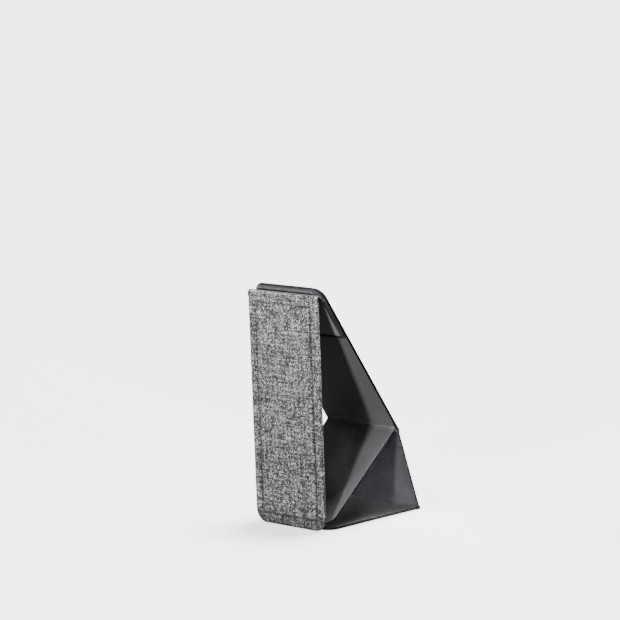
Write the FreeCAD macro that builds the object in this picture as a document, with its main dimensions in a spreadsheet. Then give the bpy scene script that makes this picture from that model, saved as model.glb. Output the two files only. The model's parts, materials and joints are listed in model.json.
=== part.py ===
import FreeCAD, Part
import math
import os
import Sketcher

# Folding stick-on phone stand: five stiffened panels of one width, joined by soft folds.
# The frame is millimetres with +Z up, X across the panels and the leg at the front (-Y).
# Every panel has a frame of its own: its fold runs along X through the origin, +Y runs
# along the panel away from the fold, and Z runs through its thickness, 0 at the middle.

ALONG_X = FreeCAD.Vector(1, 0, 0)
ALONG_Y = FreeCAD.Vector(0, 1, 0)
ALONG_Z = FreeCAD.Vector(0, 0, 1)
HALF_TURN = 180
MATCH = 1e-4

DRIVING_SIZES = [
    ("strap_width", 27.0),
    ("base_length", 59.1),
    ("top_setback", 1.0),
    ("back_length", 27.9),
    ("leaf_length", 18.7),
    ("base_slope", 51.9),
    ("back_slope", 67.7),
    ("leg_slope", 86.8),
    ("leg_skin", 0.45),
    ("leg_board_thick", 0.6),
    ("leg_lining_thick", 0.35),
    ("leg_hem_side", 2.0),
    ("leg_hem_end", 3.0),
    ("leg_lining_margin", 1.2),
    ("panel_skin", 0.25),
    ("panel_board_thick", 0.45),
    ("panel_lining_thick", 0.25),
    ("panel_hem", 1.4),
    ("panel_lining_margin", 0.5),
    ("brace_skin", 0.2),
    ("brace_board_thick", 0.4),
    ("brace_lining_thick", 0.2),
    ("brace_tab_length", 6.0),
    ("brace_station", 1.2),
    ("leaf_skin", 0.4),
    ("leaf_hem", 0.7),
    ("leaf_inset", 0.4),
    ("leaf_groove", 0.9),
    ("leaf_recess", 0.15),
    ("pad_thick", 0.8),
    ("pad_margin", 1.0),
    ("corner_radius", 4.0),
    ("least_radius", 0.5),
    ("magnet_diameter", 6.0),
    ("magnet_pitch", 12.0),
    ("magnet_setback", 8.0),
    ("magnet_clearance", 0.1),
    ("fold_gap", 0.3),
    ("toe_gap", 0.8),
]

# Sizes that follow from the driving ones. Places are in the side view, with the foot's
# fold at y = 0 and the floor at z = 0.
WORKED_OUT_SIZES = [
    ("half_width", "strap_width / 2"),
    ("leg_cover_thick", "leg_skin + leg_board_thick"),
    ("leg_thick", "leg_cover_thick + leg_lining_thick"),
    ("panel_cover_thick", "panel_skin + panel_board_thick"),
    ("panel_thick", "panel_cover_thick + panel_lining_thick"),
    ("base_board_thick", "panel_thick - panel_skin"),
    ("brace_cover_thick", "brace_skin + brace_board_thick"),
    ("brace_thick", "brace_cover_thick + brace_lining_thick"),
    ("leaf_thick", "fold_gap + brace_thick"),
    ("leaf_bed_depth", "leaf_thick - leaf_skin"),
    ("panel_fold_radius", "panel_thick / 2"),
    ("brace_fold_radius", "brace_thick / 2"),
    ("top_fold_radius", "leg_thick / 2 + fold_gap"),
    ("top_axis_depth", "panel_thick / 2 + leaf_thick + fold_gap + leg_thick / 2"),
    ("brace_axis_depth", "panel_thick / 2 + fold_gap + brace_thick / 2"),
    ("leg_bed_radius", "max(corner_radius - leg_hem_end; least_radius)"),
    ("leg_lining_radius", "max(corner_radius - leg_lining_margin; least_radius)"),
    ("panel_bed_radius", "max(corner_radius - panel_hem; least_radius)"),
    ("panel_lining_radius", "max(corner_radius - panel_lining_margin; least_radius)"),
    ("leaf_bed_radius", "max(corner_radius - leaf_hem; least_radius)"),
    ("leaf_lining_radius", "max(corner_radius - leaf_hem - leaf_groove; least_radius)"),
    ("pad_radius", "max(corner_radius - pad_margin; least_radius)"),
    ("mid_y", "-back_length * cos(back_slope)"),
    ("mid_z", "panel_thick / 2 + back_length * sin(back_slope)"),
    ("top_station", "base_length - top_setback"),
    ("crown_y", "mid_y - top_station * cos(base_slope)"),
    ("crown_z", "mid_z + top_station * sin(base_slope)"),
    ("top_y", "crown_y - top_axis_depth * sin(base_slope)"),
    ("top_z", "crown_z - top_axis_depth * cos(base_slope)"),
    ("elbow_y", "mid_y - brace_station * cos(base_slope) - brace_axis_depth * sin(base_slope)"),
    ("elbow_z", "mid_z + brace_station * sin(base_slope) - brace_axis_depth * cos(base_slope)"),
    ("leg_length", "(top_z - leg_thick / 2 * cos(leg_slope)) / sin(leg_slope)"),
    ("toe_y", "top_y + top_z / tan(leg_slope) + leg_thick / 2 / sin(leg_slope) + toe_gap"),
    ("foot_length", "-toe_y"),
    ("brace_run", "elbow_y - toe_y - brace_thick / 2"),
    ("brace_rise", "elbow_z - panel_thick - fold_gap - brace_thick / 2"),
    ("brace_length", "sqrt(brace_run * brace_run + brace_rise * brace_rise)"),
    ("leg_start", "top_fold_radius + fold_gap"),
    ("panel_start", "panel_fold_radius + fold_gap"),
    ("brace_start", "brace_fold_radius + fold_gap"),
    ("back_end", "back_length - panel_fold_radius"),
    ("foot_start", "panel_fold_radius / tan(back_slope / 2) + fold_gap / sin(back_slope)"),
]

ALIASES = {alias for alias, _ in DRIVING_SIZES + WORKED_OUT_SIZES}

doc = FreeCAD.newDocument("PhoneStand")
sheet = doc.addObject("Spreadsheet::Sheet", "Sizes")
nodes = []


def fill_sheet():
    """Write the driving sizes as plain numbers and the rest as formulas, one per row."""
    rows = [(alias, str(value)) for alias, value in DRIVING_SIZES]
    rows += [(alias, "=" + formula) for alias, formula in WORKED_OUT_SIZES]
    for row, (alias, content) in enumerate(rows, start=1):
        sheet.set("A%d" % row, alias)
        sheet.set("B%d" % row, content)
        sheet.setAlias("B%d" % row, alias)
    doc.recompute()


def size(alias):
    """Return the number that the sheet holds under an alias."""
    return float(sheet.get(alias))


def bind(target, prop, formula):
    """Bind a property to a formula of the sheet's aliases, its words set apart by spaces."""
    words = ["Sizes." + word if word in ALIASES else word for word in formula.split()]
    target.setExpression(prop, " ".join(words))


def plane_sketch(body, name, level):
    """Add a sketch parallel to the body's XY plane, at a height given by a formula."""
    sketch = body.newObject("Sketcher::SketchObject", name)
    plane = [f for f in body.Origin.OriginFeatures if f.Role == "XY_Plane"][0]
    sketch.AttachmentSupport = [(plane, "")]
    sketch.MapMode = "FlatFace"
    bind(sketch, "AttachmentOffset.Base.z", level)
    return sketch


def bind_constraints(sketch, dimensions):
    """Add dimensions to a sketch, each a constraint with the formula that sets it."""
    for constraint, formula in dimensions:
        index = sketch.addConstraint(constraint)
        bind(sketch, "Constraints[%d]" % index, formula)


def rectangle(body, name, level, half_width, start, end):
    """Sketch a rectangle that is even about the Y axis and runs from start to end."""
    sketch = plane_sketch(body, name, level)
    points = [FreeCAD.Vector(x, y, 0) for x, y in ((-1, 1), (1, 1), (1, 2), (-1, 2))]
    for i in range(4):
        sketch.addGeometry(Part.LineSegment(points[i], points[(i + 1) % 4]), False)
    for i in range(4):
        sketch.addConstraint(Sketcher.Constraint("Coincident", i, 2, (i + 1) % 4, 1))
        sketch.addConstraint(Sketcher.Constraint("Vertical" if i % 2 else "Horizontal", i))
    bind_constraints(sketch, [
        (Sketcher.Constraint("DistanceX", 0, 1, -1, 1, 1.0), half_width),
        (Sketcher.Constraint("DistanceX", -1, 1, 0, 2, 1.0), half_width),
        (Sketcher.Constraint("DistanceY", -1, 1, 0, 1, 1.0), start),
        (Sketcher.Constraint("DistanceY", -1, 1, 2, 1, 2.0), end),
    ])
    return sketch


def round_far_corners(body, name, feature, sketch, radius):
    """Fillet the upright edges of a feature at the two corners of its sketch's far side."""
    doc.recompute()
    far_side = sketch.Geometry[2]
    picked = []
    for i, edge in enumerate(feature.Shape.Edges, start=1):
        first, last = edge.Vertexes[0].Point, edge.Vertexes[-1].Point
        upright = (first - last).cross(ALONG_Z).Length < MATCH
        for corner in (far_side.StartPoint, far_side.EndPoint):
            if upright and math.hypot(first.x - corner.x, first.y - corner.y) < MATCH:
                picked.append("Edge%d" % i)
    fillet = body.newObject("PartDesign::Fillet", name)
    fillet.Base = (feature, picked)
    bind(fillet, "Radius", radius)
    doc.recompute()


def plate(label, half_width, start, end, level, thickness, radius=None):
    """Make a flat plate as a body of its own, with its far corners rounded if asked."""
    body = doc.addObject("PartDesign::Body", label)
    body.Label = label
    sketch = rectangle(body, label + "_outline", level, half_width, start, end)
    pad = body.newObject("PartDesign::Pad", label + "_pad")
    pad.Profile = sketch
    bind(pad, "Length", thickness)
    if radius:
        round_far_corners(body, label + "_corners", pad, sketch, radius)
    doc.recompute()
    nodes.append(body)
    return body


def cut(body, name, sketch, depth=None):
    """Pocket a sketch down into a body, to a depth or right through, and check that it cuts."""
    doc.recompute()
    before = body.Shape.Volume
    pocket = body.newObject("PartDesign::Pocket", name)
    pocket.Profile = sketch
    if depth:
        bind(pocket, "Length", depth)
    else:
        pocket.Type = "ThroughAll"
    doc.recompute()
    if body.Shape.Volume >= before - MATCH:
        raise RuntimeError(name + " cuts nothing")


def tray(label, start, end, level, thickness, depth, hems, radii=None):
    """Make a cover: a skin under a bed for the board, with a turned hem round it.

    The bed opens towards +Z. hems are the hem at the sides and at the far end, and radii
    the far corners' radius outside and in the bed.
    """
    hem_side, hem_end = hems
    body = plate(label, "half_width", start, end, level, thickness)
    bed = rectangle(body, label + "_bed", level + " + " + thickness, "half_width - " + hem_side,
                    start + " + " + hem_side, end + " - " + hem_end)
    cut(body, label + "_pocket", bed, depth)
    if radii:
        outer_radius, bed_radius = radii
        outline = doc.getObject(label + "_outline")
        round_far_corners(body, label + "_bed_corners", body.Tip, bed, bed_radius)
        round_far_corners(body, label + "_corners", body.Tip, outline, outer_radius)
    return body


def board(label, start, end, level, thickness, hems, radius=None, magnet_station=None):
    """Make the stiffener that fills a cover's bed, with two magnet holes if asked."""
    hem_side, hem_end = hems
    body = plate(label, "half_width - " + hem_side, start + " + " + hem_side,
                 end + " - " + hem_end, level, thickness, radius)
    if magnet_station:
        sketch = plane_sketch(body, label + "_circles", level + " + " + thickness)
        for side in (1, -1):
            middle = FreeCAD.Vector(side, 1, 0)
            circle = sketch.addGeometry(Part.Circle(middle, ALONG_Z, 1), False)
            left, right = ((-1, 1), (circle, 3))[::side]
            bind_constraints(sketch, [
                (Sketcher.Constraint("Radius", circle, 1.0), "magnet_diameter / 2 + magnet_clearance"),
                (Sketcher.Constraint("DistanceX", *left, *right, 1.0), "magnet_pitch / 2"),
                (Sketcher.Constraint("DistanceY", -1, 1, circle, 3, 1.0), magnet_station),
            ])
        cut(body, label + "_holes", sketch)
    return body


def magnets(label, station, level, thickness):
    """Make the pair of disc magnets that sits in a board's holes."""
    discs = []
    for side, sign in (("right", ""), ("left", "- ")):
        disc = doc.addObject("Part::Cylinder", label + "_" + side)
        bind(disc, "Radius", "magnet_diameter / 2")
        bind(disc, "Height", thickness)
        bind(disc, "Placement.Base.x", sign + "magnet_pitch / 2")
        bind(disc, "Placement.Base.y", station)
        bind(disc, "Placement.Base.z", level)
        discs.append(disc)
    pair = doc.addObject("Part::Compound", label)
    pair.Label = label
    pair.Links = discs
    nodes.append(pair)
    return pair


def fold_bead(name, radius, station, level):
    """Make the round of soft material that fills a fold, along X through the fold's axis."""
    bead = doc.addObject("Part::Cylinder", name)
    bind(bead, "Radius", radius)
    bind(bead, "Height", "strap_width")
    bead.Placement = FreeCAD.Placement(FreeCAD.Vector(), FreeCAD.Rotation(ALONG_Y, 90))
    bind(bead, "Placement.Base.x", "- half_width")
    bind(bead, "Placement.Base.y", station)
    bind(bead, "Placement.Base.z", level)
    return bead


def fold(label, radius, station, level, tab_length=None, tab_level=None):
    """Make a fold as a node: a bead, on a glued tab if the fold has one."""
    if not tab_length:
        node = doc.addObject("Part::Compound", label)
        node.Links = [fold_bead(label + "_bead", radius, station, level)]
    else:
        tab = doc.addObject("Part::Box", label + "_tab")
        bind(tab, "Length", "strap_width")
        bind(tab, "Width", tab_length)
        bind(tab, "Height", level + " - " + tab_level)
        bind(tab, "Placement.Base.x", "- half_width")
        bind(tab, "Placement.Base.y", station)
        bind(tab, "Placement.Base.z", tab_level)
        node = doc.addObject("Part::Fuse", label)
        node.Base = fold_bead(label + "_bead", radius, station, level)
        node.Tool = tab
    node.Label = label
    nodes.append(node)
    return node


def place(pieces, y, z, angle, turned=False):
    """Set pieces into the stand: the fold's place in the side view and the panel's direction.

    A turned panel has its bed towards the other side.
    """
    turn = FreeCAD.Rotation(ALONG_X, angle)
    if turned:
        turn = turn.multiply(FreeCAD.Rotation(ALONG_Y, HALF_TURN))
    for piece in pieces:
        piece.Placement = FreeCAD.Placement(FreeCAD.Vector(0, y, z), turn)


def make_base():
    """Make the panel that sticks to a phone, and the folds that it carries."""
    hems = ("panel_hem", "panel_hem")
    bottom = "- panel_thick / 2"
    run = ("panel_fold_radius", "base_length")
    angle = HALF_TURN - size("base_slope")
    stack = [
        tray("base_cover", *run, bottom, "panel_thick", "base_board_thick", hems,
             ("corner_radius", "panel_bed_radius")),
        board("base_board", *run, bottom + " + panel_skin", "base_board_thick", hems,
              "panel_bed_radius"),
        plate("adhesive_pad", "half_width - pad_margin", "panel_fold_radius + pad_margin",
              "base_length - pad_margin", "panel_thick / 2", "pad_thick", "pad_radius"),
    ]
    place(stack, size("mid_y"), size("mid_z"), angle, turned=True)
    folds = [
        fold("top_fold", "top_fold_radius", "top_station", "top_axis_depth"),
        fold("brace_fold", "brace_fold_radius", "brace_station", "brace_axis_depth",
             "brace_tab_length", "panel_thick / 2"),
        fold("back_fold", "panel_fold_radius", "0", "0"),
    ]
    place(folds, size("mid_y"), size("mid_z"), angle)


def make_hinge_leaf():
    """Make the leaf that bonds the leg's top to the base: a fabric hem round a dark lining."""
    start, end = "base_length - leaf_length", "base_length - leaf_inset"
    margin = "leaf_hem + leaf_groove"
    leaf = [
        tray("hinge_leaf", start, end, "panel_thick / 2", "leaf_thick", "leaf_bed_depth",
             ("leaf_hem", "leaf_hem"), ("corner_radius", "leaf_bed_radius")),
        plate("leaf_lining", "half_width - leaf_hem - leaf_groove", start + " + " + margin,
              end + " - leaf_hem - leaf_groove", "panel_thick / 2 + leaf_skin",
              "leaf_bed_depth - leaf_recess", "leaf_lining_radius"),
    ]
    place(leaf, size("mid_y"), size("mid_z"), HALF_TURN - size("base_slope"))


def make_leg():
    """Make the fabric-covered front leg, with magnets near its toe."""
    hems = ("leg_hem_side", "leg_hem_end")
    bottom = "- leg_thick / 2"
    bed = bottom + " + leg_skin"
    station = "leg_length - magnet_setback"
    leg = [
        tray("leg_cover", "leg_start", "leg_length", bottom, "leg_cover_thick", "leg_board_thick",
             hems, ("corner_radius", "leg_bed_radius")),
        board("leg_board", "leg_start", "leg_length", bed, "leg_board_thick", hems,
              "leg_bed_radius", station),
        magnets("leg_magnets", station, bed, "leg_board_thick"),
        plate("leg_lining", "half_width - leg_lining_margin", "leg_start + leg_lining_margin",
              "leg_length - leg_lining_margin", bottom + " + leg_cover_thick",
              "leg_lining_thick", "leg_lining_radius"),
    ]
    place(leg, size("top_y"), size("top_z"), -size("leg_slope"))


def make_brace():
    """Make the brace between the middle of the stand and the leg's toe."""
    hems = ("panel_hem", "panel_hem")
    bottom = "- brace_thick / 2"
    bed = bottom + " + brace_skin"
    station = "brace_length - magnet_setback"
    brace = [
        tray("brace_cover", "brace_start", "brace_length", bottom, "brace_cover_thick",
             "brace_board_thick", hems, ("corner_radius", "panel_bed_radius")),
        board("brace_board", "brace_start", "brace_length", bed, "brace_board_thick", hems,
              "panel_bed_radius", station),
        magnets("brace_magnets", station, bed, "brace_board_thick"),
        plate("brace_lining", "half_width - panel_lining_margin",
              "brace_start + panel_lining_margin", "brace_length - panel_lining_margin",
              bottom + " + brace_cover_thick", "brace_lining_thick", "panel_lining_radius"),
    ]
    slope = math.degrees(math.atan2(size("brace_rise"), size("brace_run")))
    place(brace, size("elbow_y"), size("elbow_z"), HALF_TURN + slope)


def make_back():
    """Make the short lower back panel and the fold that the foot hangs on."""
    hems = ("panel_hem", "panel_hem")
    bottom = "- panel_thick / 2"
    back = [
        tray("back_cover", "panel_start", "back_end", bottom, "panel_cover_thick",
             "panel_board_thick", hems),
        board("back_board", "panel_start", "back_end", bottom + " + panel_skin",
              "panel_board_thick", hems),
        plate("back_lining", "half_width - panel_lining_margin",
              "panel_start + panel_lining_margin", "back_end - panel_lining_margin",
              bottom + " + panel_cover_thick", "panel_lining_thick"),
        fold("foot_fold", "panel_fold_radius", "back_length", "0"),
    ]
    place(back, size("mid_y"), size("mid_z"), -size("back_slope"))


def make_foot():
    """Make the foot that lies on the table, with magnets near its toe."""
    hems = ("panel_hem", "panel_hem")
    bottom = "- panel_thick / 2"
    bed = bottom + " + panel_skin"
    station = "foot_length - magnet_setback"
    foot = [
        tray("foot_cover", "foot_start", "foot_length", bottom, "panel_cover_thick",
             "panel_board_thick", hems, ("corner_radius", "panel_bed_radius")),
        board("foot_board", "foot_start", "foot_length", bed, "panel_board_thick", hems,
              "panel_bed_radius", station),
        magnets("foot_magnets", station, bed, "panel_board_thick"),
        plate("foot_lining", "half_width - panel_lining_margin",
              "foot_start + panel_lining_margin", "foot_length - panel_lining_margin",
              bottom + " + panel_cover_thick", "panel_lining_thick", "panel_lining_radius"),
    ]
    place(foot, 0, size("panel_thick") / 2, HALF_TURN)


def centre_on_footprint():
    """Move the whole stand so that the middle of its box is above the origin."""
    doc.recompute()
    box = Part.makeCompound([node.Shape for node in nodes]).BoundBox
    for node in nodes:
        node.Placement.move(FreeCAD.Vector(0, -(box.YMin + box.YMax) / 2, -box.ZMin))
    doc.recompute()


def check_and_export():
    """Stop if anything failed to build, then write one STEP file per node."""
    for item in doc.Objects:
        if "Invalid" in item.State or "Error" in item.State:
            raise RuntimeError("%s did not build" % item.Label)
    for node in nodes:
        if node.Shape.isNull() or not node.Shape.isValid():
            raise RuntimeError("%s has no valid shape" % node.Label)
    os.makedirs("parts", exist_ok=True)
    for node in nodes:
        node.Shape.exportStep("parts/%s.step" % node.Label)


fill_sheet()
make_base()
make_hinge_leaf()
make_leg()
make_brace()
make_back()
make_foot()
centre_on_footprint()
check_and_export()
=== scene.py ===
"""Dresses the folding phone stand: a heather cloth leg and charcoal soft-leather panels on soft folds."""
import json
import logging
import math
from dataclasses import dataclass
from enum import Enum
from typing import Any, Sequence

import bmesh
import bpy
from mathutils import Matrix, Vector
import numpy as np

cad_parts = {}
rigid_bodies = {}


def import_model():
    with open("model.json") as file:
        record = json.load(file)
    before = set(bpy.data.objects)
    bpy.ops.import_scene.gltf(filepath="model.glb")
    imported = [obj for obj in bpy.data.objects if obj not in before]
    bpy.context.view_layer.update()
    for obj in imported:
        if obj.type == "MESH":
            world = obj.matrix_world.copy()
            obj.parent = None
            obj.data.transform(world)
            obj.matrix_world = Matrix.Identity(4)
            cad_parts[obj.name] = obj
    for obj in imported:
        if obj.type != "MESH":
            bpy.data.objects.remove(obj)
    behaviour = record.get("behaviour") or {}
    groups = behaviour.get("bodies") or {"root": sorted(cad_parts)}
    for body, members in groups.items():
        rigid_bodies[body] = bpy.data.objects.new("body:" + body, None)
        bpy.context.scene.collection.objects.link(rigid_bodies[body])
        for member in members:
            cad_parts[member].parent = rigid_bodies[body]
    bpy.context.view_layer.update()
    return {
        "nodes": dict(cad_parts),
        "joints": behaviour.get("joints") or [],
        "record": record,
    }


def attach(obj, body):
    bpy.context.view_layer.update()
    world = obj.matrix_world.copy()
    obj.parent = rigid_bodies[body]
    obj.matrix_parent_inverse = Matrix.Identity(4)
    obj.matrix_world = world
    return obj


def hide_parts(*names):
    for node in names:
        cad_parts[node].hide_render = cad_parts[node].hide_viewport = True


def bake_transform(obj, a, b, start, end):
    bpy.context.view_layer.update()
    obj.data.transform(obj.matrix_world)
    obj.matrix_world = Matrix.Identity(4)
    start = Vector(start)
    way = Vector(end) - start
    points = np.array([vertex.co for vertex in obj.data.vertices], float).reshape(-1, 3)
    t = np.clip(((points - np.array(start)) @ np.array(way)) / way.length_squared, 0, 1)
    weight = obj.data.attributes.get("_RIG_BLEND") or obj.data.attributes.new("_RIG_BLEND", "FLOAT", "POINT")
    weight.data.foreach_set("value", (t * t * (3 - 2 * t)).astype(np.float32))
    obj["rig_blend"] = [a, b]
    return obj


LOG = logging.getLogger("phone_stand")
MM = 0.001
ACROSS = Vector((1.0, 0.0, 0.0))
MATH = "ShaderNodeMath"
VECTOR_MATH = "ShaderNodeVectorMath"
NOISE = "ShaderNodeTexNoise"
RAMP = "ShaderNodeValToRGB"
BUMP = "ShaderNodeBump"
# Two points closer than this are one.
SAME_PLACE = 1e-7
# A face whose normal lies this far along an axis faces that way.
SQUARE_ON = 0.9
# How much more a large face counts than a small one for the shading, on Blender's scale of 1 to 100.
FLAT_WEIGHT = 80

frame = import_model()


class End(Enum):
    """Which end of a panel has rounded corners: the one away from its fold, or neither."""

    FAR = "far"
    NONE = "none"


class Side(Enum):
    """Which side of a panel something is on: its +Z side, its -Z side, or neither."""

    TOP = 1
    BOTTOM = -1
    NONE = 0


def linear(colour: str) -> tuple[float, float, float, float]:
    """Turn an sRGB hex colour into the linear colour that a shader takes.

    Args:
        colour: Six hex digits after a #.

    Returns:
        Linear red, green, blue and an alpha of one.
    """
    parts = [int(colour[i:i + 2], 16) / 255 for i in (1, 3, 5)]
    red, green, blue = (p / 12.92 if p <= 0.04045 else ((p + 0.055) / 1.055) ** 2.4 for p in parts)
    return red, green, blue, 1.0


def add_node(tree: bpy.types.NodeTree, kind: str, inputs: dict[Any, Any] | None = None,
             **settings: Any) -> bpy.types.Node:
    """Add a node, set its properties and fill its inputs.

    Args:
        tree: The material's node tree.
        kind: The node's type name.
        inputs: Input name or number to a value, a socket to link from, or a node to link the first
            output of.
        settings: Properties of the node itself.

    Returns:
        The new node.
    """
    node = tree.nodes.new(kind)
    for name, value in settings.items():
        setattr(node, name, value)
    for key, value in (inputs or {}).items():
        if isinstance(value, bpy.types.Node):
            value = value.outputs[0]
        if isinstance(value, bpy.types.NodeSocket):
            tree.links.new(value, node.inputs[key])
        else:
            node.inputs[key].default_value = value
    return node


@dataclass(frozen=True)
class Finish:
    """A surface finish: its name, its record slot, and the roughness that every shader has."""

    name: str
    slot: str
    roughness: float

    def shader(self, tree: bpy.types.NodeTree) -> dict[str, Any]:
        """Return the shader inputs that this finish links or sets."""
        raise NotImplementedError

    def material(self) -> bpy.types.Material:
        """Make the finish's material the first time that it is asked for.

        Returns:
            The one material of this finish.
        """
        made = bpy.data.materials.get(self.name)
        if made:
            return made
        made = bpy.data.materials.new(self.name)
        made.use_nodes = True
        tree = made.node_tree
        tree.nodes.clear()
        inputs = {"Roughness": self.roughness, **self.shader(tree)}
        surface = add_node(tree, "ShaderNodeBsdfPrincipled", inputs)
        add_node(tree, "ShaderNodeOutputMaterial", {"Surface": surface})
        return made


@dataclass(frozen=True)
class HeatherCloth(Finish):
    """Woven polyester in a plain weave of mixed yarns, which gives the eye grey speckle in short dashes.

    The real yarns are about 0.3 mm wide. They are drawn wider, because finer ones blur to one grey in the
    render. A yarn's tone comes in blotches (slub_yarns long) and in longer streaks, and yarns run thick and
    thin in fours.
    """

    dark: str
    middle: str
    light: str
    warp_mm: float
    weft_mm: float
    slub_yarns: float
    cloud_mm: float
    bump_mm: float
    sheen: float = 0.25
    gloss: float = 0.25
    stops: tuple[float, float, float] = (0.4, 0.5, 0.63)
    blotch_rough: float = 0.65
    yarn_step: float = 7.31
    weft_seed: float = 40.0
    streak_squeeze: float = 0.1
    streak_share: float = 0.45
    wander_per_mm: float = 0.09
    wander_yarns: float = 0.9
    roundness: float = 3.2
    crown_light: float = 0.5
    gap_light: float = 0.55
    cloud_share: float = 2.0
    fours_share: float = 0.2
    press_shade: float = 0.75
    bump_strength: float = 0.8

    def yarn_tone(self, tree: bpy.types.NodeTree, number: bpy.types.Node, along: bpy.types.NodeSocket,
                  seed: float) -> bpy.types.Node:
        """Colour a yarn in blotches of the dark, middle and light fibre, with longer streaks.

        Args:
            tree: The material's node tree.
            number: Node with the yarn's number.
            along: Socket with the distance along the yarn, in yarn widths.
            seed: Tells the two directions apart.

        Returns:
            The node with the colour.
        """
        stretched = add_node(tree, MATH, {0: along, 1: self.slub_yarns}, operation="DIVIDE")
        spread = add_node(tree, MATH, {0: number, 1: self.yarn_step}, operation="MULTIPLY")
        place = add_node(tree, "ShaderNodeCombineXYZ", {0: stretched, 1: spread, 2: seed})
        blotch = add_node(tree, NOISE, {"Vector": place, "Scale": 1.0, "Detail": 2.0,
                                        "Roughness": self.blotch_rough})
        squeezed = add_node(tree, VECTOR_MATH, {0: place, 1: (self.streak_squeeze, 1.0, 1.0)},
                            operation="MULTIPLY")
        streak = add_node(tree, NOISE, {"Vector": squeezed, "Scale": 1.0})
        shift = add_node(tree, MATH, {0: streak, 1: self.streak_share, 2: -self.streak_share / 2},
                         operation="MULTIPLY_ADD")
        tone = add_node(tree, MATH, {0: blotch, 1: shift}, operation="ADD")
        ramp = add_node(tree, RAMP, {"Fac": tone})
        dark, middle, light = self.stops
        stops = ramp.color_ramp.elements
        stops[0].position, stops[0].color = dark, linear(self.dark)
        stops[1].position, stops[1].color = light, linear(self.light)
        stops.new(middle).color = linear(self.middle)
        return ramp

    def yarn_height(self, tree: bpy.types.NodeTree, place: bpy.types.NodeSocket) -> bpy.types.Node:
        """Round a yarn from side to side.

        Args:
            tree: The material's node tree.
            place: Socket with the place across the yarns, in yarn widths.

        Returns:
            The node with the height, which is one on the yarn's middle line.
        """
        part = add_node(tree, MATH, {0: place}, operation="FRACT")
        middle = add_node(tree, MATH, {0: part, 1: 0.5}, operation="SUBTRACT")
        square = add_node(tree, MATH, {0: middle, 1: middle}, operation="MULTIPLY")
        fall = add_node(tree, MATH, {0: square, 1: self.roundness}, operation="MULTIPLY")
        return add_node(tree, MATH, {0: 1.0, 1: fall}, operation="SUBTRACT")

    def shader(self, tree: bpy.types.NodeTree) -> dict[str, Any]:
        """Weave two sets of yarns over and under each other along the piece's own UV map.

        Args:
            tree: The material's node tree.

        Returns:
            The shader inputs that the cloth links or sets.
        """
        uv = add_node(tree, "ShaderNodeUVMap", uv_map="cloth")
        wander = add_node(tree, NOISE, {"Vector": uv, "Scale": self.wander_per_mm / MM})
        drift = add_node(tree, VECTOR_MATH, {0: wander.outputs["Color"], 1: (0.5, 0.5, 0.5)},
                         operation="SUBTRACT")
        eased = add_node(tree, VECTOR_MATH, {0: drift, "Scale": self.wander_yarns}, operation="SCALE")
        yarns = (1.0 / (self.warp_mm * MM), 1.0 / (self.weft_mm * MM), 1.0)
        count = add_node(tree, VECTOR_MATH, {0: uv, 1: yarns}, operation="MULTIPLY")
        moved = add_node(tree, VECTOR_MATH, {0: count, 1: eased}, operation="ADD")
        u, v = add_node(tree, "ShaderNodeSeparateXYZ", {0: moved}).outputs[:2]
        warp_number = add_node(tree, MATH, {0: u}, operation="FLOOR")
        weft_number = add_node(tree, MATH, {0: v}, operation="FLOOR")
        crossing = add_node(tree, MATH, {0: warp_number, 1: weft_number}, operation="ADD")
        warp_on_top = add_node(tree, MATH, {0: crossing, 1: 1.0}, operation="PINGPONG")
        warp = self.yarn_tone(tree, warp_number, v, 0.0)
        weft = self.yarn_tone(tree, weft_number, u, self.weft_seed)
        tones = add_node(tree, "ShaderNodeMix", {0: warp_on_top, 6: weft, 7: warp}, data_type="RGBA")
        height = add_node(tree, MATH, {0: self.yarn_height(tree, u), 1: self.yarn_height(tree, v)},
                          operation="MULTIPLY")
        # Painted shade between the yarns: the colour is darker in the gaps and lighter on the crowns, besides
        # the bump.
        light = add_node(tree, MATH, {0: height, 1: self.crown_light, 2: self.gap_light},
                         operation="MULTIPLY_ADD")
        cloud = add_node(tree, NOISE, {"Vector": uv, "Scale": 1.0 / (self.cloud_mm * MM), "Detail": 2.0})
        shades = [add_node(tree, MATH, {0: cloud, 1: self.cloud_share}, operation="MULTIPLY")]
        for number in (warp_number, weft_number):
            in_fours = add_node(tree, MATH, {0: number, 1: 2.0}, operation="PINGPONG")
            shades.append(add_node(tree, MATH, {0: in_fours, 1: self.fours_share, 2: 1.0 - self.fours_share},
                                   operation="MULTIPLY_ADD"))
        # Painted shade from the marks on the mesh: in the groove, at the toe's rim and on the toe's band.
        pressed = add_node(tree, "ShaderNodeAttribute", attribute_name="pressed").outputs["Fac"]
        shades.append(add_node(tree, MATH, {0: pressed, 1: -self.press_shade, 2: 1.0},
                               operation="MULTIPLY_ADD"))
        for shade in shades:
            light = add_node(tree, MATH, {0: light, 1: shade}, operation="MULTIPLY")
        shaded = add_node(tree, VECTOR_MATH, {0: tones.outputs[2], "Scale": light}, operation="SCALE")
        bump = add_node(tree, BUMP, {"Height": height, "Distance": self.bump_mm * MM,
                                     "Strength": self.bump_strength})
        return {"Base Color": shaded, "Normal": bump, "Sheen Weight": self.sheen,
                "Specular IOR Level": self.gloss}


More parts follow.
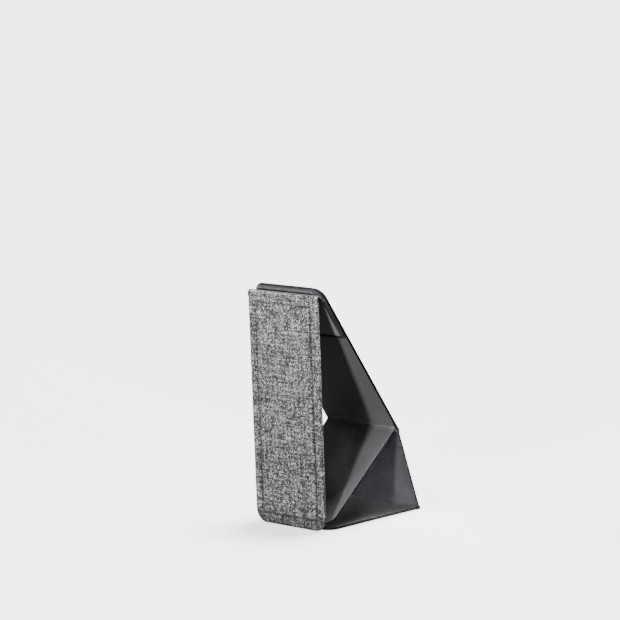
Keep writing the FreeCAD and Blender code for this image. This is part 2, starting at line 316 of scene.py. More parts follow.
@dataclass(frozen=True)
class SoftLeather(Finish):
    """Polyurethane leather with a fine embossed pebble: a dull dark grey with soft lights to the eye."""

    shade: str
    body: str
    pebble_mm: float
    cloud_mm: float
    bump_mm: float
    gloss: float
    stops: tuple[float, float] = (0.2, 0.75)
    pebble_share: float = 0.5
    lift: float = 0.2
    rough_swing: float = 0.22
    cloud_relief: float = 2.0
    bump_strength: float = 0.6

    def shader(self, tree: bpy.types.NodeTree) -> dict[str, Any]:
        """Lay a pebble over slow clouds of tone, both in real millimetres.

        Args:
            tree: The material's node tree.

        Returns:
            The shader inputs that the leather links or sets.
        """
        spot = add_node(tree, "ShaderNodeTexCoord").outputs["Object"]
        pebble = add_node(tree, "ShaderNodeTexVoronoi",
                          {"Vector": spot, "Scale": 1.0 / (self.pebble_mm * MM)}, feature="SMOOTH_F1")
        cloud = add_node(tree, NOISE, {"Vector": spot, "Scale": 1.0 / (self.cloud_mm * MM), "Detail": 3.0})
        tone = add_node(tree, MATH, {0: pebble, 1: -self.pebble_share, 2: cloud}, operation="MULTIPLY_ADD")
        lifted = add_node(tree, MATH, {0: tone, 1: self.lift}, operation="ADD")
        ramp = add_node(tree, RAMP, {"Fac": lifted})
        for stop, position, colour in zip(ramp.color_ramp.elements, self.stops, (self.shade, self.body)):
            stop.position, stop.color = position, linear(colour)
        smoothest = self.roughness - self.rough_swing / 2
        rough = add_node(tree, MATH, {0: cloud, 1: self.rough_swing, 2: smoothest}, operation="MULTIPLY_ADD")
        pits = add_node(tree, MATH, {0: pebble, 1: -1.0}, operation="MULTIPLY")
        relief = add_node(tree, MATH, {0: cloud, 1: self.cloud_relief, 2: pits}, operation="MULTIPLY_ADD")
        bump = add_node(tree, BUMP, {"Height": relief, "Distance": self.bump_mm * MM,
                                     "Strength": self.bump_strength})
        return {"Base Color": ramp, "Roughness": rough, "Normal": bump, "Specular IOR Level": self.gloss}


@dataclass(frozen=True)
class Grained(Finish):
    """A plain stock material with grain of one size: foam tape, fibre board or nickel plate."""

    shade: str
    body: str
    grain_mm: float
    bump_mm: float
    metallic: float = 0.0
    stops: tuple[float, float] = (0.35, 0.65)
    bump_strength: float = 0.6

    def shader(self, tree: bpy.types.NodeTree) -> dict[str, Any]:
        """Mix two tones by noise of the grain's real size, with the same noise as relief.

        Args:
            tree: The material's node tree.

        Returns:
            The shader inputs that the material links or sets.
        """
        spot = add_node(tree, "ShaderNodeTexCoord").outputs["Object"]
        grain = add_node(tree, NOISE, {"Vector": spot, "Scale": 1.0 / (self.grain_mm * MM), "Detail": 4.0})
        ramp = add_node(tree, RAMP, {"Fac": grain})
        for stop, position, colour in zip(ramp.color_ramp.elements, self.stops, (self.shade, self.body)):
            stop.position, stop.color = position, linear(colour)
        bump = add_node(tree, BUMP, {"Height": grain, "Distance": self.bump_mm * MM,
                                     "Strength": self.bump_strength})
        return {"Base Color": ramp, "Normal": bump, "Metallic": self.metallic}


# Mixed grey polyester yarns, woven: light and dark dashes with a soft bloom.
CLOTH = HeatherCloth(
    "heather_cloth", "heather_fabric", 0.88, dark="#0a0b0c", middle="#484a4c", light="#bcbcbc",
    warp_mm=0.42, weft_mm=0.33, slub_yarns=1.8, cloud_mm=4.0, bump_mm=0.12)
# The same cloth darkened on the wrap's top and the leaf's walls: painted shade, its speckle just showing.
PAINTED_SHADE_CLOTH = HeatherCloth(
    "glued_hem_cloth", "heather_fabric", 0.9, dark="#0a0b0d", middle="#232427", light="#4e4e50",
    warp_mm=0.45, weft_mm=0.35, slub_yarns=2.0, cloud_mm=4.0, bump_mm=0.08)
# The hem inside the leaf, made nearly black and without bloom: painted shade.
PAINTED_SHADE_LEAF_CLOTH = HeatherCloth(
    "leaf_hem_cloth", "heather_fabric", 0.9, dark="#060607", middle="#161719", light="#303032",
    warp_mm=0.45, weft_mm=0.35, slub_yarns=2.0, cloud_mm=4.0, bump_mm=0.08, sheen=0.0)
# Embossed leather dyed charcoal: an even dull grey, light only where it faces the lamp.
LEATHER = SoftLeather(
    "charcoal_leather", "charcoal_leather", 0.66, shade="#3c3c40", body="#4c4c50",
    pebble_mm=0.42, cloud_mm=9.0, bump_mm=0.035, gloss=0.12)
# The same leather made darker on the lower back: painted shade, close to black even where the lamp reaches.
PAINTED_SHADE_LEATHER = SoftLeather(
    "black_leather", "charcoal_leather", 0.68, shade="#323235", body="#404043",
    pebble_mm=0.42, cloud_mm=9.0, bump_mm=0.035, gloss=0.1)
# Thin calendered lining: dark and dull, with hardly any grain.
LINING = SoftLeather(
    "smooth_lining", "lining_leather", 0.65, shade="#2c2c2f", body="#39393c",
    pebble_mm=0.3, cloud_mm=7.0, bump_mm=0.02, gloss=0.1)
# Polished lining inside the leaf: paler, with a faint gleam.
LEAF_LINING = SoftLeather(
    "satin_lining", "lining_leather", 0.5, shade="#5e5e62", body="#78787c",
    pebble_mm=0.3, cloud_mm=7.0, bump_mm=0.02, gloss=0.3)
# Paint on the panels' cut edges: a thin black outline.
EDGE_PAINT = SoftLeather(
    "edge_paint", "charcoal_leather", 0.7, shade="#0c0c0e", body="#161618",
    pebble_mm=0.5, cloud_mm=5.0, bump_mm=0.02, gloss=0.1)
# Acrylic foam tape: matt dark grey with fine cells.
FOAM = Grained("foam_tape", "adhesive_foam", 0.85, shade="#202022", body="#333335", grain_mm=0.35,
               bump_mm=0.05)
# Pressed fibre board: pale, plain and hidden inside the panels.
BOARD = Grained("fibre_board", "stiffener_board", 0.8, shade="#7d766a", body="#9b9486", grain_mm=0.5,
                bump_mm=0.02)
# Plated magnets: bright smooth metal, hidden inside the panels.
NICKEL = Grained("nickel_plate", "magnet_plating", 0.25, shade="#b5b3ae", body="#c9c7c2", grain_mm=0.8,
                 bump_mm=0.004, metallic=1.0)


@dataclass(frozen=True)
class PanelFrame:
    """Where a panel lies: its fold's place and the direction that it runs away from the fold."""

    body: str
    place: Vector
    angle: float

    def matrix(self) -> Matrix:
        """Return the transform from the panel's own frame to the object's frame."""
        return Matrix.Translation(self.place) @ Matrix.Rotation(self.angle, 4, "X")

    def span(self, node: str) -> tuple[Vector, Vector]:
        """Measure a CAD node in the panel's own frame.

        Args:
            node: The node's name.

        Returns:
            Its lowest and its highest corner.
        """
        back = self.matrix().inverted()
        points = [back @ v.co for v in frame["nodes"][node].data.vertices]
        low = Vector(min(p[i] for p in points) for i in range(3))
        high = Vector(max(p[i] for p in points) for i in range(3))
        return low, high


def panel_frames() -> dict[str, PanelFrame]:
    """Work out every panel's frame from the joints and the phone face of the record.

    Returns:
        Each body's name to its panel's frame.
    """
    joints = {joint["child"]: joint for joint in frame["joints"]}
    mounts = {mount["name"]: mount for mount in frame["record"]["mounts"]}
    normal = mounts["phone_face"]["axis"]
    slope = math.atan2(normal[1], normal[2])
    frames = {}
    for body, joint in joints.items():
        travel = joint["range_deg"][1]
        if joint["parent"] in joints:
            travel += joints[joint["parent"]]["range_deg"][1]
        frames[body] = PanelFrame(body, Vector(joint["pos_m"]), -slope - math.radians(travel))
    frames["base"] = PanelFrame("base", Vector(joints["lower_back"]["pos_m"]), math.pi - slope)
    return frames


@dataclass(frozen=True)
class Margins:
    """How far a line lies in from a panel's outline: at its sides, its far end and its near end."""

    side: float
    far: float
    near: float

    def moved(self, step: float) -> "Margins":
        """Return the same line a step further in all round."""
        return Margins(self.side + step, self.far + step, self.near + step)


@dataclass
class Slab:
    """One thin soft-edged piece of a panel, in the panel's own frame."""

    low: Vector
    high: Vector
    corner: float = 0.0
    rounded: End = End.NONE
    edge: float = 0.2 * MM
    bed: Side = Side.NONE
    bed_margins: Margins | None = None
    bed_depth: float = 0.0
    pressed: Margins | None = None
    pressed_depth: float = 0.0
    pressed_width: float = 0.0
    # How much painted shade lies on the toe's band and along the groove's upper half.
    toe_shade: float = 0.7
    line_shade: float = 0.8
    band_share: float = 0.9
    corner_steps: int = 10
    rim_steps: int = 3

    def outline(self, bm: bmesh.types.BMesh) -> None:
        """Lay the flat outline with its rounded corners at the low side.

        Args:
            bm: The new, empty bmesh.
        """
        middle = (self.low + self.high) / 2
        length = self.high - self.low
        bmesh.ops.create_grid(bm, x_segments=1, y_segments=1, size=0.5)
        bmesh.ops.scale(bm, verts=bm.verts, vec=(length.x, length.y, 1.0))
        bmesh.ops.translate(bm, verts=bm.verts, vec=(middle.x, middle.y, self.low.z))
        if self.rounded is not End.NONE:
            corners = [v for v in bm.verts if v.co.y > middle.y]
            bmesh.ops.bevel(bm, geom=corners, offset=self.corner, offset_type="OFFSET",
                            segments=self.corner_steps, profile=0.5, affect="VERTICES", material=-1)

    def flat_face(self, bm: bmesh.types.BMesh, side: Side) -> bmesh.types.BMFace:
        """Return the large face on one side."""
        faces = [f for f in bm.faces if f.normal.z * side.value > SQUARE_ON]
        return max(faces, key=lambda f: f.calc_area())

    def inset(self, bm: bmesh.types.BMesh, face: bmesh.types.BMFace, reached: Margins, line: Margins,
              depth: float = 0.0) -> None:
        """Inset a face from one line to the next, with its own distance at each end.

        Args:
            bm: The piece so far.
            face: The face that reaches the first line.
            reached: The first line.
            line: The next line.
            depth: How far the face rises on the way.
        """
        middle = (self.low.y + self.high.y) / 2
        step = line.side - reached.side
        bmesh.ops.inset_region(bm, faces=[face], thickness=step, depth=depth, use_even_offset=True)
        for vert in face.verts:
            if vert.co.y > middle:
                vert.co.y -= line.far - reached.far - step
            else:
                vert.co.y += line.near - reached.near - step

    def press_line(self, bm: bmesh.types.BMesh, side: Side) -> None:
        """Hold a face's rim crisp, and press a shallow groove along the panel's edge if one is asked for.

        Args:
            bm: The piece so far.
            side: The side that the face is on.
        """
        rim = Margins(self.edge, self.edge, self.edge)
        reached = rim.moved(self.edge)
        self.inset(bm, self.flat_face(bm, side), rim, reached)
        if not self.pressed:
            return
        half = self.pressed_width / 2
        # The marks paint shade: darkest at the toe's rim and in the groove, a little lighter on the toe's
        # band, none inside the groove.
        shade_marks = bm.verts.layers.float.new("pressed")
        for vert in bm.verts:
            vert[shade_marks] = float(vert.co.y > (self.low.y + self.high.y) / 2)
        self.paint_shade(bm, side, self.toe_shade, 0.0)
        for step, depth, far, near in ((-half, 0.0, self.toe_shade, 0.0),
                                       (-half / 3, -self.pressed_depth, 1.0, self.line_shade),
                                       (half / 3, 0.0, 1.0, self.line_shade),
                                       (half, self.pressed_depth, 0.0, 0.0)):
            line = self.pressed.moved(step)
            self.inset(bm, self.flat_face(bm, side), reached, line, depth)
            self.paint_shade(bm, side, far, near)
            reached = line
        self.inset(bm, self.flat_face(bm, side), reached, reached.moved(half))
        self.clear_sides(bm, reached)

    def clear_sides(self, bm: bmesh.types.BMesh, line: Margins) -> None:
        """End the toe's painted shade just above its line, so that the bands at the sides stay plain.

        Args:
            bm: The piece with its groove.
            line: The groove's inner line.
        """
        level = self.high.y - line.far - self.pressed_width
        cut = bmesh.ops.bisect_plane(bm, geom=[*bm.verts, *bm.edges, *bm.faces], plane_co=(0.0, level, 0.0),
                                     plane_no=(0.0, 1.0, 0.0), dist=SAME_PLACE)["geom_cut"]
        shade_marks = bm.verts.layers.float["pressed"]
        middle = (self.low.x + self.high.x) / 2
        outside = self.high.x - middle - line.side + self.pressed_width * self.band_share
        for vert in (g for g in cut if isinstance(g, bmesh.types.BMVert)):
            if abs(vert.co.x - middle) > outside:
                vert[shade_marks] = 0.0

    def paint_shade(self, bm: bmesh.types.BMesh, side: Side, far: float, near: float) -> None:
        """Mark how much painted shade a face's outline gets.

        Args:
            bm: The piece so far.
            side: The side that the face is on.
            far: How much painted shade at the panel's far end.
            near: How much at its near end.
        """
        shade_marks = bm.verts.layers.float["pressed"]
        middle = (self.low.y + self.high.y) / 2
        for vert in self.flat_face(bm, side).verts:
            vert[shade_marks] = far if vert.co.y > middle else near

    def sink_bed(self, bm: bmesh.types.BMesh) -> None:
        """Sink the bed that takes the board, inside the hem.

        Args:
            bm: The piece so far.
        """
        face = self.flat_face(bm, self.bed)
        rim = Margins(self.edge, self.edge, self.edge)
        self.inset(bm, face, rim, self.bed_margins)
        made = bmesh.ops.extrude_discrete_faces(bm, faces=[face])["faces"]
        drop = -self.bed_depth * self.bed.value
        bmesh.ops.translate(bm, verts=made[0].verts[:], vec=(0.0, 0.0, drop))

    def mesh(self) -> bmesh.types.BMesh:
        """Make the piece: outline, thickness, soft rims, pressed lines and bed.

        Returns:
            The finished bmesh.
        """
        bm = bmesh.new()
        self.outline(bm)
        made = bmesh.ops.extrude_face_region(bm, geom=bm.faces[:])["geom"]
        top = [g for g in made if isinstance(g, bmesh.types.BMVert)]
        bmesh.ops.translate(bm, verts=top, vec=(0.0, 0.0, self.high.z - self.low.z))
        bmesh.ops.recalc_face_normals(bm, faces=bm.faces)
        rims = [e for e in bm.edges if len(e.link_faces) == 2
                and {abs(f.normal.z) > SQUARE_ON for f in e.link_faces} == {True, False}]
        bmesh.ops.bevel(bm, geom=rims, offset=self.edge, offset_type="OFFSET", segments=self.rim_steps,
                        profile=0.5, affect="EDGES", material=-1)
        bm.normal_update()
        for side in (Side.TOP, Side.BOTTOM):
            if side is self.bed:
                self.sink_bed(bm)
            else:
                self.press_line(bm, side)
        bm.normal_update()
        return bm


def lay_uv(bm: bmesh.types.BMesh, front: float, steep: float = 0.7) -> None:
    """Give a panel piece a cloth map in metres that runs on over its edges.

    Args:
        bm: The piece in its panel's frame.
        front: Level of the face that the cloth starts on.
        steep: How squarely a wall faces outwards for the cloth to run down it.
    """
    layer = bm.loops.layers.uv.new("cloth")
    for face in bm.faces:
        for loop in face.loops:
            spot = loop.vert.co
            depth = abs(spot.z - front)
            u = spot.x + math.copysign(depth, spot.x) * (abs(face.normal.x) > steep)
            v = spot.y + math.copysign(depth, face.normal.y) * (abs(face.normal.y) > steep)
            loop[layer].uv = (u, v)


def make_object(bm: bmesh.types.BMesh, name: str, finishes: Sequence[Finish]) -> bpy.types.Object:
    """Turn a finished bmesh into a smooth object at the origin with its finishes.

    Args:
        bm: The piece, already in the object's frame.
        name: The piece's name.
        finishes: Its finishes, in the order of the faces' material numbers.

    Returns:
        The new object.
    """
    for face in bm.faces:
        face.smooth = True
    mesh = bpy.data.meshes.new(name)
    bm.to_mesh(mesh)
    bm.free()
    for finish in finishes:
        mesh.materials.append(finish.material())
    piece = bpy.data.objects.new(name, mesh)
    bpy.context.scene.collection.objects.link(piece)
    flat = piece.modifiers.new("flat_faces_stay_flat", "WEIGHTED_NORMAL")
    flat.mode, flat.weight, flat.keep_sharp = "FACE_AREA", FLAT_WEIGHT, True
    LOG.info("%s: %d faces", name, len(mesh.polygons))
    return piece


def plain(node: str, finish: Finish) -> None:
    """Give a carried-over CAD node its finish."""
    materials = frame["nodes"][node].data.materials
    materials.clear()
    materials.append(finish.material())


@dataclass
class Panel:
    """A panel of the stand: its frame, and the soft pieces that stand for its CAD solids."""

    at: PanelFrame
    cover: str
    corner: float = 4.0 * MM
    least_corner: float = 0.5 * MM
    rounded: End = End.FAR

    def dress(self, node: str, name: str, finishes: Sequence[Finish], grow: float = 0.0,
              **shape: Any) -> None:
        """Make a soft-edged piece over a CAD node, in its place.

        Args:
            node: The CAD node that the piece stands for.
            name: The piece's name.
            finishes: Its finish, and a second one for its outer walls if they have their own.
            grow: How far the soft piece's outline reaches past the node's.
            shape: Fields of the piece's Slab.
        """
        low, high = self.at.span(node)
        low, high = low - Vector((grow, grow, 0.0)), high + Vector((grow, grow, 0.0))
        outer = self.at.span(self.cover)[1]
        corner = max(self.corner - (outer.x - high.x), self.least_corner)
        slab = Slab(low, high, **{"corner": corner, "rounded": self.rounded, **shape})
        bm = slab.mesh()
        if len(finishes) > 1:
            self.paint_edge(bm, slab)
        lay_uv(bm, low.z)
        bm.transform(self.at.matrix())
        piece = make_object(bm, name, finishes)
        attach(piece, self.at.body)
        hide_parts(node)

    def paint_edge(self, bm: bmesh.types.BMesh, slab: Slab) -> None:
        """Give the outer walls the second finish.

        Args:
            bm: The piece in its panel's frame.
            slab: The sizes that it was made from.
        """
        middle = (slab.low.x + slab.high.x) / 2
        for face in bm.faces:
            spot = face.calc_center_median()
            inner = Vector((middle, min(spot.y, slab.high.y - slab.corner), spot.z))
            outward = face.normal.dot(spot - inner)
            face.material_index = int(abs(face.normal.z) < SQUARE_ON and outward > 0)

    def tray(self, name: str, board: str, side: Side, finishes: Sequence[Finish], **shape: Any) -> None:
        """Make the panel's cover with a bed that fits its board.

        Args:
            name: The piece's name.
            board: The CAD node that lies in the bed.
            side: The side that the bed opens on.
            finishes: As for dress.
            shape: More fields of the piece's Slab.
        """
        low, high = self.at.span(self.cover)
        inner_low, inner_high = self.at.span(board)
        margins = Margins(high.x - inner_high.x, high.y - inner_high.y, inner_low.y - low.y)
        depth = high.z - inner_low.z if side is Side.TOP else inner_high.z - low.z
        self.dress(self.cover, name, finishes, bed=side, bed_margins=margins, bed_depth=depth, **shape)


@dataclass
class FoldStrip:
    """A strip of soft skin from one panel round a fold to the next, in the first panel's frame.

    It starts on the panel, runs back to the fold, turns through an arc and runs straight on.
    """

    width: float
    thickness: float
    start: float
    level: float
    turn: float
    radius: float
    sweep: float
    tail: float
    inside: Side
    steps: int = 12
    second_from: float = math.inf

    def centre(self) -> Vector:
        """Return the middle of the arc."""
        return Vector((0.0, self.turn, self.level + self.inside.value * self.radius))

    def turned(self, direction: Vector) -> Vector:
        """Return a direction at the strip's start as it is at its end."""
        return Matrix.Rotation(-self.inside.value * self.sweep, 3, "X") @ direction

    def end(self) -> Vector:
        """Return the place where the strip ends, in the middle of its outer face."""
        return self.centre() + self.turned(Vector((0.0, -self.tail, -self.inside.value * self.radius)))

    def walk(self, bm: bmesh.types.BMesh, vert: bmesh.types.BMVert, step: Vector) -> bmesh.types.BMVert:
        """Draw a straight stretch of the profile.

        Args:
            bm: The profile so far.
            vert: Where the stretch starts.
            step: The way to its end.

        Returns:
            Its end.
        """
        made = bmesh.ops.extrude_vert_indiv(bm, verts=[vert])["verts"][0]
        bmesh.ops.translate(bm, verts=[made], vec=step)
        return made

    def swing(self, bm: bmesh.types.BMesh, vert: bmesh.types.BMVert, angle: float) -> bmesh.types.BMVert:
        """Draw an arc of the profile about the fold.

        Args:
            bm: The profile so far.
            vert: Where the arc starts.
            angle: How far it turns.

        Returns:
            Its end.
        """
        last = bmesh.ops.spin(bm, geom=[vert], cent=self.centre(), axis=ACROSS, angle=angle, steps=self.steps,
                              use_duplicate=False)["geom_last"]
        return next(g for g in last if isinstance(g, bmesh.types.BMVert))

    def unrolled(self, spot: Vector) -> float:
        """Measure how far along the strip a place lies, as if the strip lay flat.

        Args:
            spot: The place.

        Returns:
            Its distance from the first panel's fold line.
        """
        from_centre = spot - self.centre()
        angle = math.atan2(-from_centre.y, -self.inside.value * from_centre.z)
        if angle <= 0.0:
            return spot.y
        past = (spot - self.end()).dot(self.turned(Vector((0.0, -1.0, 0.0)))) + self.tail
        if angle > self.sweep:
            return self.turn - self.radius * self.sweep - past
        return self.turn - self.radius * angle

    def mesh(self) -> bmesh.types.BMesh:
        """Draw the strip's profile and pull it across the panel.

        Returns:
            The closed strip, with its cloth map.
        """
        bm = bmesh.new()
        angle = -self.inside.value * self.sweep
        inward = Vector((0.0, 0.0, self.inside.value * self.thickness))
        back = Vector((0.0, self.turn - self.start, 0.0))
        first = bm.verts.new((-self.width / 2, self.start, self.level))
        vert = self.swing(bm, self.walk(bm, first, back), angle)
        vert = self.walk(bm, vert, self.turned(Vector((0.0, -self.tail, 0.0))))
        vert = self.walk(bm, vert, self.turned(inward))
        vert = self.walk(bm, vert, self.turned(Vector((0.0, self.tail, 0.0))))
        vert = self.walk(bm, self.swing(bm, vert, -angle), -back)
        bm.edges.new((vert, first))
        bmesh.ops.remove_doubles(bm, verts=bm.verts, dist=SAME_PLACE)
        bmesh.ops.contextual_create(bm, geom=bm.edges[:])
        made = bmesh.ops.extrude_face_region(bm, geom=bm.faces[:])["geom"]
        moved = [g for g in made if isinstance(g, bmesh.types.BMVert)]
        bmesh.ops.translate(bm, verts=moved, vec=(self.width, 0.0, 0.0))
        bmesh.ops.recalc_face_normals(bm, faces=bm.faces)
        layer = bm.loops.layers.uv.new("cloth")
        for face in bm.faces:
            for loop in face.loops:
                loop[layer].uv = (loop.vert.co.x, self.unrolled(loop.vert.co))
        return bm

    def paint(self, bm: bmesh.types.BMesh) -> None:
        """Give the side walls, and the turn beyond an angle, the second finish.

        Args:
            bm: The strip.
        """
        for face in bm.faces:
            spot = face.calc_center_median() - self.centre()
            angle = math.atan2(-spot.y, -self.inside.value * spot.z)
            face.material_index = int(abs(face.normal.x) > SQUARE_ON or angle > self.second_from)

    def hang(self, name: str, at: PanelFrame, other: str, finishes: Sequence[Finish], node: str) -> None:
        """Make the strip and let it bend between its two bodies.

        Args:
            name: The piece's name.
            at: The frame that the strip is drawn in; its start follows this frame's body.
            other: The body that its end follows.
            finishes: Its finish, and the second one.
            node: The CAD node that it stands for.
        """
        bm = self.mesh()
        self.paint(bm)
        matrix = at.matrix()
        bm.transform(matrix)
        piece = make_object(bm, name, finishes)
        start = matrix @ Vector((0.0, self.turn, self.level))
        end = matrix @ self.end()
        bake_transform(piece, at.body, other, start=tuple(start), end=tuple(end))
        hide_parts(node)


@dataclass
class ClothLeg:
    """The leg: heather cloth turned over a board, with a border line pressed into its front."""

    at: PanelFrame
    border: Margins = Margins(2.8 * MM, 3.4 * MM, 1.5 * MM)
    border_depth: float = 0.2 * MM
    border_width: float = 1.1 * MM
    soft_edge: float = 0.3 * MM
    lining_edge: float = 0.12 * MM

    def build(self) -> None:
        """Make the cloth, the lining behind it, and finish the board and magnets inside."""
        leg = Panel(self.at, "leg_cover")
        leg.tray("leg_cloth", "leg_board", Side.TOP, [CLOTH], edge=self.soft_edge, pressed=self.border,
                 pressed_depth=self.border_depth, pressed_width=self.border_width)
        leg.dress("leg_lining", "leg_inner_lining", [LINING], edge=self.lining_edge)
        plain("leg_board", BOARD)
        plain("leg_magnets", NICKEL)


@dataclass
class StickOnBase:
    """The base: a leather skin on a board, its foam pad, and the cloth leaf at its top."""

    at: PanelFrame
    border: Margins = Margins(1.6 * MM, 1.6 * MM, 1.0 * MM)
    border_depth: float = 0.05 * MM
    border_width: float = 0.4 * MM
    skin_edge: float = 0.15 * MM
    leaf_edge: float = 0.25 * MM
    leaf_hem: float = 0.7 * MM
    lining_edge: float = 0.2 * MM
    lining_grow: float = 0.75 * MM

    def build(self) -> None:
        """Make the skin, the pad, the leaf and its lining, and finish the board inside."""
        base = Panel(self.at, "base_cover")
        base.tray("base_skin", "base_board", Side.BOTTOM, [LEATHER, EDGE_PAINT], edge=self.skin_edge,
                  pressed=self.border, pressed_depth=self.border_depth, pressed_width=self.border_width)
        base.dress("adhesive_pad", "foam_pad", [FOAM], edge=self.skin_edge)
        leaf = Panel(self.at, "hinge_leaf")
        high = self.at.span("hinge_leaf")[1]
        floor = self.at.span("leaf_lining")[0].z
        # The leaf's inner face wears near-black cloth and its outer walls the dark cloth of the wrap's top:
        # both painted shade.
        leaf.dress("hinge_leaf", "leaf_cloth", [PAINTED_SHADE_LEAF_CLOTH, PAINTED_SHADE_CLOTH], edge=self.leaf_edge, bed=Side.TOP,
                   bed_margins=Margins(self.leaf_hem, self.leaf_hem, self.leaf_hem), bed_depth=high.z - floor)
        leaf.dress("leaf_lining", "leaf_inner_lining", [LEAF_LINING], grow=self.lining_grow,
                   edge=self.lining_edge)
        plain("base_board", BOARD)


@dataclass
class LeatherPanel:
    """A plain folding panel: leather skin, board, lining and, near its toe, magnets."""

    at: PanelFrame
    stem: str
    finish: Finish
    rounded: End
    has_magnets: bool
    skin_edge: float = 0.15 * MM
    lining_edge: float = 0.08 * MM

    def build(self) -> None:
        """Make the skin and the lining, and finish what lies between them."""
        panel = Panel(self.at, f"{self.stem}_cover", rounded=self.rounded)
        panel.tray(f"{self.stem}_skin", f"{self.stem}_board", Side.TOP, [self.finish, EDGE_PAINT],
                   edge=self.skin_edge)
        panel.dress(f"{self.stem}_lining", f"{self.stem}_inner_lining", [LINING], edge=self.lining_edge)
        plain(f"{self.stem}_board", BOARD)
        if self.has_magnets:
            plain(f"{self.stem}_magnets", NICKEL)


@dataclass
class SoftFolds:
    """The four soft folds that join the panels, each a strip that bends with its joint."""

    frames: dict[str, PanelFrame]
    cloth_thick: float = 0.45 * MM
    cloth_run: float = 0.4 * MM
    cloth_tail: float = 0.3 * MM
    tab_thick: float = 0.2 * MM
    # Angle round the top wrap's turn where its painted shade begins.
    shade_from: float = math.radians(50.0)
    inside_radius: float = 0.12 * MM
    skin_share: float = 0.9
    wrap_steps: int = 20

    def travel(self, body: str) -> float:
        """Return how far a body's joint turns, in radians."""
        return math.radians(next(j["range_deg"][1] for j in frame["joints"] if j["child"] == body))

    def wrap_top(self) -> None:
        """Carry the leg's cloth over its top edge and down to the leaf."""
        at = self.frames["leg"]
        low, high = at.span("leg_cover")
        sweep = math.pi - self.travel("leg")
        base = self.frames["base"]
        reach = (base.matrix().inverted() @ at.place).z - base.span("hinge_leaf")[1].z
        level = low.z * math.cos(sweep) + self.cloth_run * math.sin(sweep)
        radius = (reach + level) / (1.0 - math.cos(sweep))
        LOG.info("top wrap radius %.2f mm", radius / MM)
        # Past shade_from, and on its side walls, the wrap wears the dark cloth: painted shade on the wrap's
        # top.
        strip = FoldStrip(high.x - low.x, self.cloth_thick, low.y, low.z, self.cloth_run, radius, sweep,
                          self.cloth_tail, Side.TOP, steps=self.wrap_steps, second_from=self.shade_from)
        strip.hang("top_wrap", at, "base", [CLOTH, PAINTED_SHADE_CLOTH], "top_fold")

    def turn_outside(self, body: str, parent: str, cover: str, gap: float, name: str, node: str) -> None:
        """Carry the skin round the outside of a fold from a panel to the one that it hangs on.

        Args:
            body: The panel's body.
            parent: The body that it hangs on.
            cover: The panel's cover node.
            gap: How far the other panel's skin starts from the fold.
            name: The piece's name.
            node: The CAD node that it stands for.
        """
        at = self.frames[body]
        low, high = at.span(cover)
        radius = bead_radius(at, node)
        strip = FoldStrip(high.x - low.x, radius * self.skin_share, low.y, radius, 0.0, radius,
                          self.travel(body), gap, Side.BOTTOM)
        strip.hang(name, at, parent, [LEATHER, EDGE_PAINT], node)

    def turn_inside(self) -> None:
        """Carry the brace's upper skin round its inside corner and up the base as a glued tab."""
        at, base = self.frames["brace"], self.frames["base"]
        low, high = at.span("brace_cover")
        sweep = self.travel("brace")
        axis = base.matrix().inverted() @ at.place
        reach = axis.z - base.span("base_cover")[1].z - self.tab_thick
        radius = self.inside_radius
        tail = base.span("brace_fold")[1].y - axis.y - radius
        turn = (radius - reach - (radius - low.z) * math.cos(sweep)) / math.sin(sweep)
        sweep -= math.atan2(self.tab_thick, tail)
        strip = FoldStrip(high.x - low.x, -self.tab_thick, low.y, low.z, turn, radius, sweep, tail,
                          Side.BOTTOM)
        strip.hang("brace_turn", at, "base", [LEATHER, EDGE_PAINT], "brace_fold")

    def build(self) -> None:
        """Make all four folds."""
        self.wrap_top()
        self.turn_inside()
        self.turn_outside("lower_back", "base", "back_cover", self.frames["base"].span("base_cover")[0].y,
                          "middle_turn", "back_fold")
        back = self.frames["lower_back"]
        gap = (back.matrix().inverted() @ self.frames["foot"].place).y - back.span("back_cover")[1].y
        self.turn_outside("foot", "lower_back", "foot_cover", gap, "foot_turn", "foot_fold")


def bead_radius(at: PanelFrame, node: str) -> float:
    """Return the radius of a fold's round bead about its panel's own fold line."""
    return at.span(node)[1].z


@dataclass(frozen=True)
class SoftLight:
    """A square studio light: where it stands, what it faces, its side, its power and its beam."""

    name: str
    place: tuple[float, float, float]
    aim: tuple[float, float, float]
    size: float
    power: float
    beam: float = math.pi

    def add(self) -> None:
        """Stand the light in the scene."""
        data = bpy.data.lights.new(self.name, "AREA")
        data.size, data.energy, data.spread = self.size, self.power, self.beam
        lamp = bpy.data.objects.new(self.name, data)
        lamp.location = self.place
        lamp.rotation_euler = (Vector(self.place) - Vector(self.aim)).to_track_quat("Z", "Y").to_euler()
        bpy.context.scene.collection.objects.link(lamp)


# The key makes the bright strips, the low fill lifts the lower tube, and the top fill lifts the upper end of
# the leg.
KEY = SoftLight("key", (0.308, -1.15, 0.181), (0.0, 0.0, 0.035), 0.09, 23.0)
LOW_FILL = SoftLight("low_fill", (0.3, -0.1, 0.03), (0.0, 0.022, 0.004), 0.03, 0.014, math.radians(7.0))
TOP_FILL = SoftLight("top_fill", (0.0, -0.13, 0.18), (0.0, -0.024, 0.08), 0.02, 0.017, math.radians(36.0))


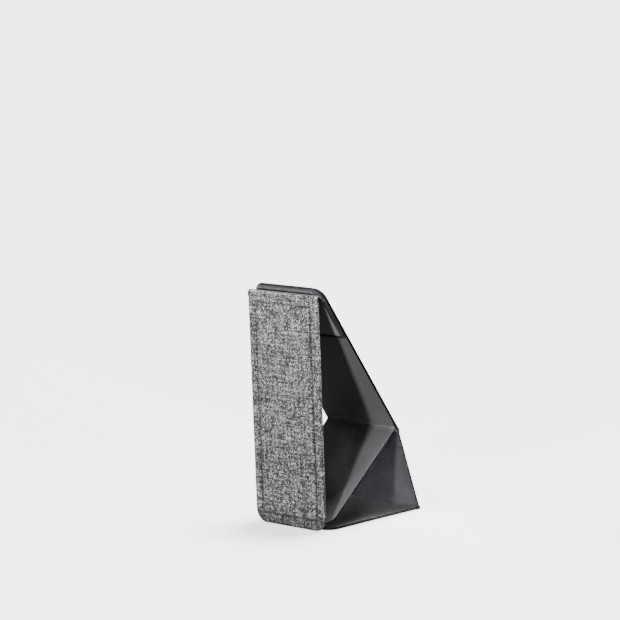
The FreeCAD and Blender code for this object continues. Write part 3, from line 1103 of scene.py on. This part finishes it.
@dataclass
class Studio:
    """The floor, the lights and the camera of the photograph.

    Light from a pale floor would fill the stand's dark inside, so the floor glows for the camera alone, and
    the sky is brighter to the camera (sky_seen) than as a light (sky_power).
    """

    azimuth: float = math.radians(40.5)
    elevation: float = math.radians(7.5)
    distance: float = 0.8
    sensor: float = 36.0
    view_end: float = 20.0
    lens: float = 152.08
    aim_right: float = -7.67 * MM
    aim_up: float = 62.86 * MM
    sky_power: float = 0.24
    sky_seen: float = 4.9
    table_glow: float = 1.9
    paper: str = "#f4f4f4"
    paper_rough: float = 0.9
    floor_radius: float = 8.0
    floor_sides: int = 64
    overhead_power: float = 9.0
    overhead_angle: float = math.radians(20.0)
    overhead_lean: float = math.radians(14.0)

    def axes(self) -> tuple[Vector, Vector, Vector]:
        """Return the camera's right, forward and up directions."""
        a, e = self.azimuth, self.elevation
        right = Vector((math.cos(a), math.sin(a), 0.0))
        forward = Vector((-math.sin(a) * math.cos(e), math.cos(a) * math.cos(e), -math.sin(e)))
        return right, forward, right.cross(forward)

    def add_camera(self) -> None:
        """Stand the camera at the photograph's angle."""
        right, forward, up = self.axes()
        data = bpy.data.cameras.new("camera")
        data.lens, data.sensor_width, data.clip_end = self.lens, self.sensor, self.view_end
        camera = bpy.data.objects.new("camera", data)
        aim = right * self.aim_right + up * self.aim_up
        camera.matrix_world = Matrix.Translation(aim - forward * self.distance) @ Matrix(
            (right, up, -forward)).transposed().to_4x4()
        bpy.context.scene.collection.objects.link(camera)
        bpy.context.scene.camera = camera

    def add_floor(self) -> None:
        """Lay a wide pale floor under the stand, which takes its shadow but lights nothing."""
        bm = bmesh.new()
        bmesh.ops.create_circle(bm, cap_ends=True, radius=self.floor_radius, segments=self.floor_sides)
        floor = bpy.data.meshes.new("floor")
        bm.to_mesh(floor)
        bm.free()
        paper = bpy.data.materials.new("studio_paper")
        paper.use_nodes = True
        surface = paper.node_tree.nodes["Principled BSDF"]
        surface.inputs["Base Color"].default_value = linear(self.paper)
        surface.inputs["Roughness"].default_value = self.paper_rough
        surface.inputs["Emission Color"].default_value = linear(self.paper)
        surface.inputs["Emission Strength"].default_value = self.table_glow
        floor.materials.append(paper)
        piece = bpy.data.objects.new("floor", floor)
        bpy.context.scene.collection.objects.link(piece)
        piece.visible_diffuse = piece.visible_glossy = False

    def add_sky(self) -> None:
        """Surround the stand with weak even light, and show the camera the floor's tone above the floor."""
        world = bpy.data.worlds.new("studio")
        world.use_nodes = True
        tree = world.node_tree
        sky = tree.nodes["Background"]
        sky.inputs["Color"].default_value = linear(self.paper)
        seen = add_node(tree, "ShaderNodeLightPath").outputs["Is Camera Ray"]
        span = self.sky_seen - self.sky_power
        strength = add_node(tree, MATH, {0: seen, 1: span, 2: self.sky_power}, operation="MULTIPLY_ADD")
        tree.links.new(strength.outputs[0], sky.inputs["Strength"])
        bpy.context.scene.world = world

    def add_overhead(self) -> None:
        """Light the whole floor evenly from above and a little behind."""
        data = bpy.data.lights.new("overhead", "SUN")
        data.energy, data.angle = self.overhead_power, self.overhead_angle
        lamp = bpy.data.objects.new("overhead", data)
        lamp.rotation_euler = (-self.overhead_lean, 0.0, 0.0)
        bpy.context.scene.collection.objects.link(lamp)

    def build(self) -> None:
        """Lay the floor, light the stand and stand the camera."""
        self.add_floor()
        self.add_sky()
        for light in (KEY, LOW_FILL, TOP_FILL):
            light.add()
        self.add_overhead()
        self.add_camera()


def main() -> None:
    """Build the stand and the studio."""
    logging.basicConfig(level=logging.INFO, format="%(message)s")
    frames = panel_frames()
    ClothLeg(frames["leg"]).build()
    StickOnBase(frames["base"]).build()
    LeatherPanel(frames["brace"], "brace", LEATHER, End.FAR, has_magnets=True).build()
    # The lower back wears the darker leather: painted shade.
    LeatherPanel(frames["lower_back"], "back", PAINTED_SHADE_LEATHER, End.NONE, has_magnets=False).build()
    LeatherPanel(frames["foot"], "foot", LEATHER, End.FAR, has_magnets=True).build()
    SoftFolds(frames).build()
    Studio().build()


if __name__ == "__main__":
    main()
